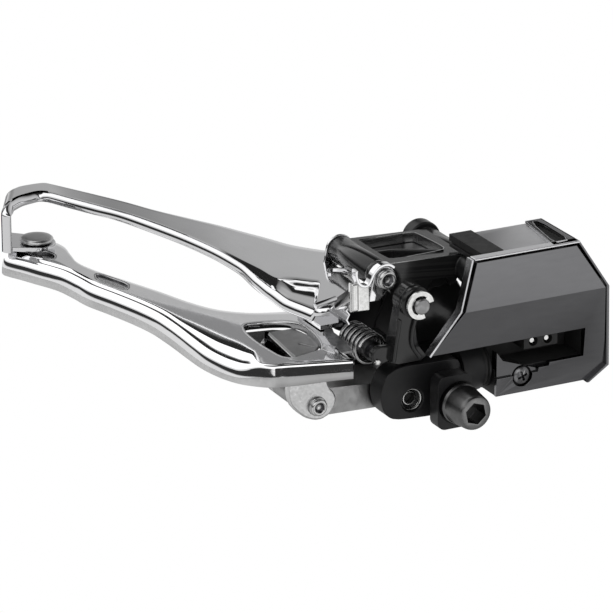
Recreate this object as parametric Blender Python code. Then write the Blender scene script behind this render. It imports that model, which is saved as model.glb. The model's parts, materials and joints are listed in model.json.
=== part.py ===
"""Electronic front derailleur, braze-on mount, for a double chainset road bicycle.

Frame: +X forward along the link pins and the fixing bolt, +Y towards the bicycle (inboard),
+Z up the seat tube.  The origin is on the fixing bolt axis, in the seat face that meets the
braze-on tab.  All sizes below are millimetres and are scaled to metres when a mesh is made.
"""
import math

import bmesh
import bpy
from mathutils import Vector

MM = 0.001
RUN = 0.1                       # running clearance of the pins

# ---- driving dimensions -------------------------------------------------------------------
BOLT_R = 2.4                    # M5 fixing bolt, thread left plain
BOLT_HEAD_R = 4.25
BOLT_HEX = 5.0                  # across flats
PIN_R = 1.8                     # link pins
BASE_LOW = (0.4, -9.0)          # pivot axes as (Y, Z), all parallel to X
BASE_UP = (-27.8, 11.2)
LINK = (-2.0, -24.6)            # base pivot to cage pivot
CAGE_LOW = (BASE_LOW[0] + LINK[0], BASE_LOW[1] + LINK[1])
CAGE_UP = (BASE_UP[0] + LINK[0], BASE_UP[1] + LINK[1])
ARM_PIN = (-25.1, -8.6)         # clip pin in the glossy arm
ARM_PIN_R = 2.0
SPRING = (-12.0, -17.0)         # axis of the play-taking spring
OUTER_Y = -27.0                 # outboard face of the outer cage plate
INNER_Y = -14.0                 # outboard face of the inner cage plate
PLATE = 1.4                     # cage sheet thickness
TAIL = (-105.0, -62.5)          # tail rivet as (X, Z)
CASE_BACK, CASE_FRONT = -13.5, 1.8
COVER_BACK, COVER_FRONT = 2.1, 5.0
FOLD_Y = -22.0                  # fold line of the cover
SCREW = (-1.9, 19.9)            # cover screw as (Y, Z)

for old in list(bpy.data.objects):
    bpy.data.objects.remove(old, do_unlink=True)

# ---- materials ----------------------------------------------------------------------------


def look(name, colour, metallic, rough):
    mat = bpy.data.materials.new(name)
    mat.use_nodes = True
    shader = mat.node_tree.nodes["Principled BSDF"]
    shader.inputs["Base Color"].default_value = (*colour, 1.0)
    shader.inputs["Metallic"].default_value = metallic
    shader.inputs["Roughness"].default_value = rough
    mat.diffuse_color = (*colour, 1.0)
    return mat


LOOKS = {
    "chrome": ((0.72, 0.72, 0.72), 1.0, 0.08),
    "satin": ((0.62, 0.62, 0.60), 1.0, 0.35),
    "cast": ((0.36, 0.36, 0.35), 1.0, 0.42),
    "steel": ((0.55, 0.55, 0.54), 1.0, 0.25),
    "dark_steel": ((0.07, 0.07, 0.07), 1.0, 0.35),
    "gloss_black": ((0.015, 0.015, 0.016), 0.0, 0.12),
    "satin_black": ((0.02, 0.02, 0.021), 0.0, 0.4),
    "cover": ((0.05, 0.05, 0.052), 0.6, 0.3),
    "rubber": ((0.03, 0.03, 0.03), 0.0, 0.8),
    "board": ((0.02, 0.12, 0.05), 0.0, 0.5),
    "brass": ((0.7, 0.5, 0.2), 1.0, 0.3),
}

# ---- shape helpers ------------------------------------------------------------------------


def place(axis, a, b, t):
    """Point from two in-plane numbers and one along the axis."""
    if axis == "X":
        return Vector((t, a, b)) * MM
    if axis == "Y":
        return Vector((a, t, b)) * MM
    return Vector((a, b, t)) * MM


def finish(bm, name="work"):
    bmesh.ops.remove_doubles(bm, verts=bm.verts, dist=1e-8)
    bmesh.ops.recalc_face_normals(bm, faces=bm.faces)
    mesh = bpy.data.meshes.new(name)
    bm.to_mesh(mesh)
    bm.free()
    obj = bpy.data.objects.new(name, mesh)
    bpy.context.scene.collection.objects.link(obj)
    return obj


def prism(axis, outline, lo, hi):
    bm = bmesh.new()
    low = [bm.verts.new(place(axis, a, b, lo)) for a, b in outline]
    high = [bm.verts.new(place(axis, a, b, hi)) for a, b in outline]
    bm.faces.new(low)
    bm.faces.new(high[::-1])
    count = len(outline)
    for i in range(count):
        j = (i + 1) % count
        bm.faces.new((low[i], low[j], high[j], high[i]))
    return finish(bm)


def box(x0, x1, y0, y1, z0, z1):
    return prism("X", [(y0, z0), (y1, z0), (y1, z1), (y0, z1)], x0, x1)


def circle(centre, radius, sides=32, start=0.0, sweep=360.0):
    steps = sides if sweep >= 360.0 else sides + 1
    turn = math.radians(sweep) / sides
    first = math.radians(start)
    return [(centre[0] + radius * math.cos(first + i * turn),
             centre[1] + radius * math.sin(first + i * turn)) for i in range(steps)]


def turned(axis, centre, profile, sides=32, start=0.0):
    """Solid of revolution; the profile lists (radius, position along the axis)."""
    bm = bmesh.new()
    rings = []
    for radius, along in profile:
        if radius < 1e-6:
            rings.append([bm.verts.new(place(axis, centre[0], centre[1], along))])
        else:
            rings.append([bm.verts.new(place(axis, a, b, along))
                          for a, b in circle(centre, radius, sides, start)])
    closed = all(radius > 1e-6 for radius, _ in profile)
    pairs = list(zip(rings, rings[1:] + rings[:1])) if closed else list(zip(rings, rings[1:]))
    for one, two in pairs:
        for i in range(sides):
            j = (i + 1) % sides
            if len(one) == 1 and len(two) == 1:
                continue
            if len(one) == 1:
                bm.faces.new((one[0], two[j], two[i]))
            elif len(two) == 1:
                bm.faces.new((one[i], one[j], two[0]))
            else:
                bm.faces.new((one[i], one[j], two[j], two[i]))
    return finish(bm)


def bore(centre, lo, hi, radius=PIN_R + RUN, sides=30):
    """Cutter for a hole along X, turned a little so that its edges miss the barrel's."""
    return turned("X", centre, [(0, lo), (radius, lo), (radius, hi), (0, hi)], sides, 3.7)


def rod(axis, centre, radius, lo, hi, sides=32, chamfer=0.0):
    if chamfer:
        return turned(axis, centre, [(0, lo), (radius - chamfer, lo), (radius, lo + chamfer),
                                     (radius, hi - chamfer), (radius - chamfer, hi), (0, hi)], sides)
    return turned(axis, centre, [(0, lo), (radius, lo), (radius, hi), (0, hi)], sides)


def hull(points):
    """Convex outline of a set of points, anticlockwise."""
    pts = sorted(set(points))

    def half(seq):
        out = []
        for p in seq:
            while len(out) > 1 and ((out[-1][0] - out[-2][0]) * (p[1] - out[-2][1])
                                    - (out[-1][1] - out[-2][1]) * (p[0] - out[-2][0])) <= 1e-9:
                out.pop()
            out.append(p)
        return out
    return half(pts)[:-1] + half(pts[::-1])[:-1]


def curve(knots, steps=4):
    """Smooth open curve through the knots."""
    out = []
    for i in range(len(knots) - 1):
        p0, p1 = knots[max(i - 1, 0)], knots[i]
        p2, p3 = knots[i + 1], knots[min(i + 2, len(knots) - 1)]
        for s in range(steps):
            t = s / steps
            out.append(tuple(0.5 * (2 * b + (c - a) * t + (2 * a - 5 * b + 4 * c - d) * t * t
                                    + (3 * b - a - 3 * c + d) * t ** 3)
                             for a, b, c, d in zip(p0, p1, p2, p3)))
    return out + [tuple(knots[-1])]


def ribbon(path, inner, outer):
    """Outline of a strip along an open path, from -inner to +outer of its left side."""
    left, right = [], []
    for i, (a, b) in enumerate(path):
        a0, b0 = path[max(i - 1, 0)]
        a1, b1 = path[min(i + 1, len(path) - 1)]
        length = math.hypot(a1 - a0, b1 - b0)
        na, nb = -(b1 - b0) / length, (a1 - a0) / length
        left.append((a + na * outer, b + nb * outer))
        right.append((a - na * inner, b - nb * inner))
    return left + right[::-1]


def combine(base, others, operation):
    for other in others:
        mod = base.modifiers.new("shape", "BOOLEAN")
        mod.operation = operation
        mod.solver = "EXACT"
        mod.object = other
    graph = bpy.context.evaluated_depsgraph_get()
    graph.update()
    mesh = bpy.data.meshes.new_from_object(base.evaluated_get(graph))
    base.modifiers.clear()
    base.data = mesh
    for other in others:
        bpy.data.objects.remove(other, do_unlink=True)
    return base


def piece(name, finish_name, solids, cuts=(), pivot=(0.0, 0.0, 0.0), parent=None):
    """Fuse solids, take the cuts away and give the result its name, look and origin."""
    obj = solids[0]
    if len(solids) > 1:
        combine(obj, solids[1:], "UNION")
    if cuts:
        combine(obj, list(cuts), "DIFFERENCE")
    bm = bmesh.new()
    bm.from_mesh(obj.data)
    bmesh.ops.triangulate(bm, faces=bm.faces)
    bmesh.ops.remove_doubles(bm, verts=bm.verts, dist=5e-8)
    shift = Vector(pivot) * MM
    bmesh.ops.translate(bm, verts=bm.verts, vec=-shift)
    bm.to_mesh(obj.data)
    bm.free()
    colour, metallic, rough = LOOKS[finish_name]
    obj.data.materials.clear()
    obj.data.materials.append(look(name + "_finish", colour, metallic, rough))
    obj.name = name
    obj.data.name = name
    obj.location = shift
    if parent is not None:
        bpy.context.view_layer.update()
        obj.parent = parent
        obj.matrix_parent_inverse = parent.matrix_world.inverted()
    return obj


# ---- base ---------------------------------------------------------------------------------
base = piece(
    "bracket_base", "satin_black",
    [prism("X", [(-8.6, -3.4), (-9.2, -13.4), (-6.4, -17.4), (-2.0, -18.2), (2.4, -17.0),
                 (5.2, -13.4), (5.6, -3.4), (5.6, 5.4), (-8.6, 5.4)], -35.5, 0.0),
     rod("Z", (-4.6, -4.0), 6.2, 4.6, 12.3, 40),
     prism("X", hull(circle(BASE_UP, 4.6, 28) + [(-8.0, -3.0), (-8.0, 5.4), (0.0, -3.0)]),
           -35.5, -31.4),
     prism("X", [(-17.0, -1.0), (-15.6, -11.0), (-12.6, -13.4), (-7.0, -14.0), (-6.0, 0.0)],
           -34.6, -31.7),
     prism("X", [(-22.9, 12.6), (-22.6, 4.0), (-21.0, 0.6), (-15.0, -1.8), (-8.0, -3.6),
                 (-5.4, -3.6), (-5.4, 5.0), (-7.4, 12.6)], -16.2, -13.8)],
    [box(-40.0, -27.2, -12.0, 8.0, -22.0, -4.4),
     box(-21.9, -5.8, -12.0, 8.0, -22.0, -4.2),
     box(-31.4, -14.0, -12.0, 1.2, -4.3, 8.0),
     rod("X", (0.0, 0.0), BOLT_R + 0.3, -15.5, 3.0),
     bore(BASE_LOW, -30.0, -0.7),
     rod("X", BASE_LOW, 2.5, -1.4, 3.0, 36),
     bore(BASE_UP, -40.0, -30.0)])

washer_outline = hull([p for c in ((-5.2, -3.8), (4.6, -3.8), (4.6, 1.6), (-5.2, 1.6))
                       for p in circle(c, 2.0, 16)])
washer = piece("radius_washer", "satin_black", [prism("X", washer_outline, 3.0, 7.2)],
               [rod("X", (0.0, 0.0), BOLT_R + 0.3, 0.0, 10.0)])

hex_r = BOLT_HEX / 2.0 / math.cos(math.pi / 6)
bolt = piece(
    "fixing_bolt", "dark_steel",
    [turned("X", (0.0, 0.0), [(0, -13.6), (BOLT_R - 0.5, -13.6), (BOLT_R, -13.1), (BOLT_R, 7.5),
                              (5.0, 7.5), (5.0, 8.6), (BOLT_HEAD_R, 9.0), (BOLT_HEAD_R, 14.9),
                              (BOLT_HEAD_R - 0.6, 15.5), (0, 15.5)], 40)],
    [prism("X", circle((0.0, 0.0), hex_r, 6, 12.0), 11.0, 17.0)])
washer.parent = bolt

lower_base_pin = piece(
    "lower_base_pin", "steel",
    [turned("X", BASE_LOW, [(0, -26.9), (PIN_R - 0.3, -26.9), (PIN_R, -26.6), (PIN_R, -1.1),
                            (PIN_R - 0.4, -0.7), (1.0, -0.7), (0.6, -1.2), (0, -1.2)])],
    parent=base)
upper_base_pin = piece("upper_base_pin", "steel",
                       [rod("X", BASE_UP, PIN_R, -35.3, -4.2, chamfer=0.3)], parent=base)

pin_arm = piece(
    "pin_arm", "gloss_black",
    [prism("X", [(-25.1, -12.2), (-19.0, -13.4), (-13.0, -14.4), (-9.5, -14.8), (-9.5, -4.4),
                 (-14.0, -7.6), (-19.0, -8.2), (-24.0, -6.0)], -4.0, 0.3),
     rod("X", ARM_PIN, 4.0, -4.3, 1.6, 36),
     rod("X", SPRING, 3.6, -5.2, -1.0, 28)],
    [rod("X", ARM_PIN, ARM_PIN_R + RUN, -9.0, 6.0),
     rod("X", SPRING, 1.9, -9.0, -2.2)], parent=base)
arm_pin = piece(
    "arm_pin", "dark_steel",
    [turned("X", ARM_PIN, [(0, -4.2), (1.7, -4.2), (ARM_PIN_R, -3.9), (ARM_PIN_R, 2.1), (1.55, 2.1),
                           (1.55, 3.3), (ARM_PIN_R, 3.3), (ARM_PIN_R, 3.9), (1.7, 4.2), (0, 4.2)])],
    parent=base)


def clip_outline(centre, r_out, r_in, prong, mouth, gap):
    """Retaining clip: an open ring with three inner prongs; mouth is the opening direction."""
    half_gap = gap / 2.0
    outer = circle(centre, r_out, 40, mouth + half_gap, 360.0 - gap)
    inner = []
    for i in range(41):
        angle = mouth + half_gap + (360.0 - gap) * i / 40
        near = min(abs((angle - mouth - p + 180.0) % 360.0 - 180.0) for p in (62.0, 180.0, 298.0))
        radius = prong if near < 17.0 else r_in
        inner.append((centre[0] + radius * math.cos(math.radians(angle)),
                      centre[1] + radius * math.sin(math.radians(angle))))
    return outer + inner[::-1]


e_clip = piece("e_clip", "steel",
               [prism("X", clip_outline(ARM_PIN, 3.55, 2.45, 1.75, 60.0, 78.0), 2.35, 3.05)],
               parent=base)


def coil(centre, radius, wire, lo, hi, turns, steps=20, sides=8):
    bm = bmesh.new()
    rings = []
    total = int(turns * steps)
    rise = (hi - lo) / total
    lean = math.atan2(rise * steps, 2 * math.pi * radius)
    for i in range(total + 1):
        angle = 2 * math.pi * i / steps
        out = Vector((0.0, math.cos(angle), math.sin(angle)))
        tangent = Vector((math.sin(lean), -math.sin(angle) * math.cos(lean),
                          math.cos(angle) * math.cos(lean)))
        side = tangent.cross(out)
        middle = Vector((lo + rise * i, centre[0], centre[1])) + out * radius
        ring = [bm.verts.new((middle + (out * math.cos(2 * math.pi * k / sides)
                                        + side * math.sin(2 * math.pi * k / sides)) * wire) * MM)
                for k in range(sides)]
        rings.append(ring)
    for one, two in zip(rings, rings[1:]):
        for k in range(sides):
            n = (k + 1) % sides
            bm.faces.new((one[k], one[n], two[n], two[k]))
    bm.faces.new(rings[0][::-1])
    bm.faces.new(rings[-1])
    return finish(bm)


spring_post = piece("spring_post", "dark_steel",
                    [turned("X", SPRING, [(0, -18.6), (2.9, -18.6), (2.9, -17.6), (2.4, -17.6),
                                          (2.4, -5.5), (1.6, -5.5), (1.6, -2.6), (0, -2.6)])],
                    parent=base)
saver_spring = piece("saver_spring", "dark_steel",
                     [coil(SPRING, 3.45, 0.72, -16.6, -6.2, 6.0)], parent=base)

# ---- motor housing ------------------------------------------------------------------------
case = piece(
    "motor_case", "satin_black",
    [prism("X", [(-35.2, 15.0), (-35.2, 32.7), (-22.6, 41.7), (-1.4, 42.1), (2.4, 37.2),
                 (2.4, 12.8), (-11.0, 12.8), (-14.0, 15.0)], CASE_BACK, CASE_FRONT),
     box(CASE_BACK, CASE_FRONT, -33.2, -32.3, 8.2, 16.0),
     prism("X", hull(circle(BASE_UP, 4.0, 28) + [(-32.0, 15.5), (-23.8, 15.5)]), -8.4, -4.4)],
    [prism("X", [(-33.4, 17.0), (-33.4, 31.9), (-22.0, 39.9), (-13.4, 40.1), (-13.4, 17.0)],
           -11.6, 4.0),
     box(-6.5, 4.0, -11.6, -4.2, 11.0, 37.3),
     rod("X", SCREW, 1.5, -6.8, 4.0, 24),
     bore(BASE_UP, -10.0, 1.0)], parent=base)


def slab(faces, back, front):
    """Closed sheet whose front follows the function front(y, z); faces share whole edges."""
    bm = bmesh.new()
    made = {}

    def vert(point, level):
        key = (point, level)
        if key not in made:
            x = back if level == 0 else front(*point)
            made[key] = bm.verts.new(Vector((x, point[0], point[1])) * MM)
        return made[key]
    edges = {}
    for face in faces:
        bm.faces.new([vert(p, 1) for p in face])
        bm.faces.new([vert(p, 0) for p in face[::-1]])
        for p, q in zip(face, face[1:] + face[:1]):
            edges[(p, q)] = edges.get((p, q), 0) + 1
    for p, q in edges:
        if (q, p) not in edges:
            bm.faces.new((vert(p, 1), vert(p, 0), vert(q, 0), vert(q, 1)))
    return finish(bm)


def cover_front(y, z):
    return COVER_FRONT - 0.085 * max(0.0, y - FOLD_Y)


cover = piece(
    "motor_cover", "cover",
    [slab([[(-35.2, 4.7), (FOLD_Y, 1.8), (FOLD_Y, 43.5), (-35.2, 34.6)],
           [(FOLD_Y, 1.8), (-11.7, -6.9), (-11.7, 37.4), (-4.1, 37.4), (-4.1, 27.6),
            (-3.3, 27.4), (-3.3, 12.4), (2.7, 12.4), (2.7, 38.4), (-1.0, 44.0),
            (FOLD_Y, 43.5)]], COVER_BACK, cover_front)],
    [rod("X", SCREW, 2.5, 0.0, 8.0, 32)], parent=base)

end_cap = piece("end_cap", "cover",
                [prism("X", [(-35.2, 33.1), (-35.2, 34.6), (FOLD_Y, 43.5), (-1.0, 44.0),
                             (2.7, 38.4), (2.7, 37.9), (-1.2, 42.5), (-22.4, 42.1)],
                       CASE_BACK - 0.8, CASE_FRONT)], parent=base)
seal_block = piece("seal_block", "rubber",
                   [box(-14.4, 1.8, -35.2, -33.45, 8.6, 14.7)], parent=base)
case_screw = piece(
    "case_screw", "dark_steel",
    [turned("X", SCREW, [(0, -5.8), (1.2, -5.8), (1.2, 2.1), (2.2, 2.1), (2.2, 2.9), (1.7, 3.3),
                         (0, 3.3)], 28)],
    [box(2.5, 5.0, SCREW[0] - 1.3, SCREW[0] + 1.3, SCREW[1] - 0.3, SCREW[1] + 0.3),
     box(2.5, 5.0, SCREW[0] - 0.3, SCREW[0] + 0.3, SCREW[1] - 1.3, SCREW[1] + 1.3)],
    parent=base)
motor_can = piece("motor_can", "steel",
                  [turned("Z", (-5.2, -26.9),
                          [(0, 18.0), (2.2, 18.0), (2.2, 19.2), (5.5, 19.2), (5.5, 31.6), (0, 31.6)],
                          36)], parent=base)
gearbox = piece("gearbox_block", "cast", [box(-11.0, 0.2, -20.8, -13.9, 17.6, 39.2)],
                [rod("Y", (-5.4, 28.0), 3.0, -22.0, -17.0, 28)], parent=base)
board = piece("control_board", "board",
              [prism("X", [(-33.0, 17.6), (-33.0, 31.6), (-22.0, 39.2), (-14.0, 39.4),
                           (-14.0, 17.6)], 0.8, 1.5)], parent=base)
port = piece("wire_port", "rubber", [box(-6.1, 0.8, -11.3, -7.8, 21.5, 31.0)],
             [rod("X", (-9.5, 24.2), 1.25, -4.5, 3.0, 20), rod("X", (-9.5, 28.3), 1.25, -4.5, 3.0, 20)],
             parent=base)
for tag, z in (("a", 24.2), ("b", 28.3)):
    piece("port_contact_" + tag, "brass", [rod("X", (-9.5, z), 0.6, -4.2, 0.0, 16)], parent=base)

# ---- links --------------------------------------------------------------------------------
outer_link = piece(
    "outer_link", "gloss_black",
    [prism("X", [(-32.4, -13.5), (-31.6, 11.0), (-25.6, 11.3), (-27.2, -13.3)], -29.9, -9.4),
     rod("X", BASE_UP, 3.7, -31.1, -8.7, 32),
     rod("X", CAGE_UP, 3.5, -29.8, -8.4, 32),
     box(-11.2, -9.4, -29.0, -23.4, -10.4, 8.4)],
    [bore(BASE_UP, -40.0, 0.0),
     bore(CAGE_UP, -40.0, 0.0),
     prism("Y", [(-28.0, -8.6), (-28.0, 6.2), (-13.0, 6.2), (-13.0, -8.6)], -36.0, -29.4),
     rod("X", (-23.4, -5.4), 3.2, -12.0, -8.0, 24),
     rod("X", (-23.4, 3.4), 3.2, -12.0, -8.0, 24)],
    pivot=(0.0, *BASE_UP))

inner_link = piece(
    "inner_link", "cast",
    [prism("X", [(-4.5, -33.7), (-2.6, -9.1), (3.1, -8.9), (3.3, -13.0), (2.6, -33.5)],
           -20.0, -6.4),
     rod("X", BASE_LOW, 3.6, -21.5, -6.1, 32),
     rod("X", CAGE_LOW, 3.5, -20.4, -5.3, 32)],
    [box(-17.6, -8.8, 0.55, 6.0, -27.6, -15.0),
     bore(BASE_LOW, -40.0, 0.0),
     bore(CAGE_LOW, -40.0, 0.0, PIN_R + 0.6)],
    pivot=(0.0, *BASE_LOW))

# ---- cage ---------------------------------------------------------------------------------
outer_far = [(-36.3, -12.3), (-46.0, -19.2), (-67.4, -28.8), (-89.7, -40.5), (-113.0, -52.0),
             (-118.0, -55.4), (-118.2, -61.0), (-115.4, -66.2)]
outer_near = [(-104.2, -71.6), (-108.8, -67.4), (-111.4, -62.6), (-110.8, -58.0), (-106.8, -55.2),
              (-95.0, -49.3), (-82.0, -44.2), (-67.2, -40.0), (-55.2, -37.6), (-45.6, -36.5),
              (-35.6, -36.2), (-27.6, -36.9), (-20.6, -37.0), (-12.0, -35.4), (-4.0, -33.2)]
outer_outline = (curve(outer_far, 3) + curve(outer_near, 3)
                 + [(-3.0, -30.0), (-6.6, -26.6), (-12.0, -20.6), (-14.0, -17.9), (-33.4, -17.9),
                    (-33.6, -12.6)])
outer_plate = piece(
    "outer_plate", "chrome",
    [prism("Y", outer_outline, OUTER_Y, OUTER_Y + PLATE),
     prism("Y", ribbon(curve(outer_near, 3), 0.7, 0.7), OUTER_Y - 0.5, OUTER_Y + 2.4),
     prism("Y", [(-103.4, -71.9), (-104.4, -70.9), (-114.6, -65.7), (-115.9, -66.3),
                 (-104.3, -72.4)], OUTER_Y + 0.3, -14.75),
     prism("Y", hull(circle(TAIL, 5.4, 28) + [(-104.0, -71.3), (-114.0, -66.3)]), -15.9, -14.75)],
    [rod("Y", TAIL, 2.6, -20.0, -10.0, 28)],
    pivot=(0.0, *CAGE_UP), parent=outer_link)

inner_far = [(-31.0, -15.8), (-33.2, -20.0), (-35.2, -27.0), (-38.0, -34.0), (-43.0, -39.6),
             (-51.0, -44.0), (-62.0, -47.7), (-72.7, -51.7), (-82.5, -55.4), (-90.5, -57.2),
             (-97.0, -56.4), (-104.0, -55.4), (-112.0, -57.4), (-117.0, -62.0), (-117.4, -64.8)]
inner_near = [(-105.0, -71.4), (-97.4, -67.8), (-87.6, -63.6), (-74.0, -61.4), (-63.5, -58.2),
              (-52.0, -55.4), (-38.0, -54.6), (-23.7, -54.6), (-14.0, -53.0), (-7.6, -49.9),
              (-3.4, -45.8), (-1.4, -40.2), (0.6, -33.0), (2.4, -27.2)]
near_curve = curve(inner_near, 3)
inner_outline = (curve(inner_far, 3) + near_curve
                 + [(1.0, -26.2), (-9.0, -25.9), (-15.6, -24.2), (-19.4, -22.1), (-28.2, -17.2)])
cutout = [(-32.0, -39.4), (-30.6, -33.0), (-29.0, -29.0), (-26.4, -26.8), (-22.4, -26.2),
          (-14.0, -27.4), (-8.4, -29.4), (-6.2, -32.0), (-5.6, -40.6), (-17.9, -41.6),
          (-26.0, -41.2)]
inner_plate = piece(
    "inner_plate", "chrome",
    [prism("Y", inner_outline, INNER_Y, INNER_Y + PLATE),
     prism("Y", ribbon(near_curve, 0.5, 1.0), INNER_Y - 0.5, -8.4)],
    [prism("Y", cutout, -16.0, -11.0),
     prism("Y", [(-99.2, -61.4), (-93.4, -59.9), (-92.6, -61.0), (-98.6, -62.8)], -16.0, -11.0),
     prism("Y", [(-79.5, -57.8), (-69.5, -54.0), (-69.0, -55.4), (-79.0, -59.4)], -16.0, -11.0),
     rod("Y", TAIL, 2.6, -20.0, -10.0, 28)],
    pivot=(0.0, *CAGE_UP), parent=outer_plate)

tail_rivet = piece(
    "tail_rivet", "steel",
    [turned("Y", TAIL, [(0, -17.5), (3.9, -17.5), (4.35, -17.1), (4.35, -16.5), (4.0, -16.15),
                        (2.35, -16.15), (2.35, -12.3), (3.4, -12.3), (3.4, -11.4), (0, -11.4)], 36)],
    parent=outer_plate)

cheek_up = hull(circle(CAGE_UP, 3.0, 28) + [(-25.3, -17.5), (-24.2, -17.5), (-24.2, -15.0)])
hinge_bracket = piece(
    "hinge_bracket", "chrome",
    [prism("Y", [(-33.0, -27.0), (-33.0, -16.6), (-5.8, -16.6), (-5.8, -24.0), (-12.0, -27.0)],
           -25.3, -24.2),
     prism("X", cheek_up, -8.1, -5.8),
     prism("X", cheek_up, -33.0, -30.3)],
    [bore(CAGE_UP, -40.0, 0.0)], parent=outer_plate)

stiffener = piece(
    "cage_stiffener", "cast",
    [prism("Y", [(-27.6, -43.6), (-5.4, -43.6), (-4.6, -29.6), (-24.6, -29.6)], -12.3, -11.2)],
    [prism("Y", hull(circle((-9.6, -34.6), 1.1, 16) + circle((-7.4, -33.6), 1.1, 16)), -14, -9)],
    parent=outer_plate)

cheek_low = hull(circle(CAGE_LOW, 3.5, 28) + [(-10.9, -40.4), (-9.0, -40.4), (-10.9, -31.6)])
lower_lug = piece(
    "lower_lug", "satin",
    [prism("X", cheek_low, -5.0, -2.9), prism("X", cheek_low, -24.0, -20.7),
     box(-24.0, -2.9, -10.9, -9.4, -40.4, -37.4)],
    [bore(CAGE_LOW, -40.0, 0.0)], parent=outer_plate)

front_bridge = piece(
    "front_bridge", "chrome",
    [box(-31.0, -18.6, -23.9, -14.3, -19.7, -18.5),
     box(-31.0, -18.6, -23.9, -22.9, -25.6, -18.5),
     prism("Y", [(-31.0, -24.6), (-31.0, -18.5), (-18.6, -18.5), (-18.6, -24.6)], -15.4, -14.3)],
    parent=outer_plate)

upper_cage_pin = piece(
    "upper_cage_pin", "steel",
    [turned("X", CAGE_UP, [(0, -33.6), (PIN_R, -33.6), (PIN_R, -5.5), (2.6, -5.5), (2.6, -4.9),
                           (2.2, -4.5), (1.3, -4.5), (0.7, -4.9), (0, -4.9)])],
    parent=outer_plate)
lower_cage_pin = piece(
    "lower_cage_pin", "steel",
    [turned("X", CAGE_LOW, [(0, -24.6), (PIN_R, -24.6), (PIN_R, -2.6), (2.4, -2.6), (2.4, -0.5),
                            (2.0, 0.0), (1.3, 0.0), (0.8, -0.4), (0, -0.4)])],
    parent=outer_plate)
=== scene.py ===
"""Looks of the electronic front derailleur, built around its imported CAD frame.

Frame of the part: +X forward along the link pins, +Y inboard, +Z up the seat tube, origin on the
fixing bolt axis in the seat face.  Lengths written in this file are millimetres.
"""
import json
from math import cos, hypot, pi, radians, sin

import bmesh
import bpy
from mathutils import Matrix, Vector


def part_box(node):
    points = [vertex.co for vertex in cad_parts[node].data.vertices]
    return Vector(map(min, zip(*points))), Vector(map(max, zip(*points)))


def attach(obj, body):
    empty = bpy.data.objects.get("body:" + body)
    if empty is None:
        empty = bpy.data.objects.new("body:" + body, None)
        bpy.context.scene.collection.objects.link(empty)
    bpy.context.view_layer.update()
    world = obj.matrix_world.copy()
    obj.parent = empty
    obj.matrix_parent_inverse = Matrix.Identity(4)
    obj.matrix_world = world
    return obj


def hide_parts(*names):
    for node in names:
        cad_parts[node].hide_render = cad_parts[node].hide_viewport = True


MM = 0.001
# radii of the pins and of the holes for them and for the fixing bolt
PIN, CAGE_HOLE, LINK_HOLE, BOLT_HOLE = 1.8, 1.9, 1.95, 2.9

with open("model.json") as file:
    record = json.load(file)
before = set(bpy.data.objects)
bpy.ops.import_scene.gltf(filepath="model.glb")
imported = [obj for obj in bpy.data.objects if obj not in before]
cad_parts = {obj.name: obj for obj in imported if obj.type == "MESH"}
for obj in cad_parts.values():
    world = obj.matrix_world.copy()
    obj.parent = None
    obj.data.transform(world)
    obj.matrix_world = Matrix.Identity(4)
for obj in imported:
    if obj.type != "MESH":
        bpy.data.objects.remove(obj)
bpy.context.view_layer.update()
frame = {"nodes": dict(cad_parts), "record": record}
nodes = frame["nodes"]
scene = bpy.context.scene

# pivot axes as (Y, Z), worked out from the frame's joints
PIVOT = {j["name"]: (j["pos_m"][1] / MM, j["pos_m"][2] / MM) for j in
    frame["record"]["behaviour"]["joints"] if "pos_m" in j}
BASE_UP = PIVOT["outer_link_pivot"]
BASE_LOW = PIVOT["inner_link_pivot"]
CAGE_UP = PIVOT["cage_pivot"]
CAGE_LOW = (BASE_LOW[0] + CAGE_UP[0] - BASE_UP[0], BASE_LOW[1] + CAGE_UP[1] - BASE_UP[1])


def box_mm(node):
    low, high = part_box(node)
    return [v / MM for v in low], [v / MM for v in high]


def middle(node):
    return tuple((low + high) / 2.0 for low, high in zip(*box_mm(node)))


# ---- node material helpers ----


class Graph:
    """A short way to write a node tree."""

    def __init__(self, tree):
        self.tree = tree

    def node(self, kind, **values):
        made = self.tree.nodes.new(kind)
        for key, value in values.items():
            if hasattr(made, key):
                setattr(made, key, value)
            else:
                made.inputs[key.replace("_", " ")].default_value = value
        return made

    def link(self, source, target):
        self.tree.links.new(source, target)

    def remap(self, value, low, high, to_low=0.0, to_high=1.0, **how):
        made = self.node("ShaderNodeMapRange", From_Min=low, From_Max=high, To_Min=to_low, To_Max=to_high,
            **how)
        self.link(value, made.inputs["Value"])
        return made.outputs["Result"]


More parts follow.
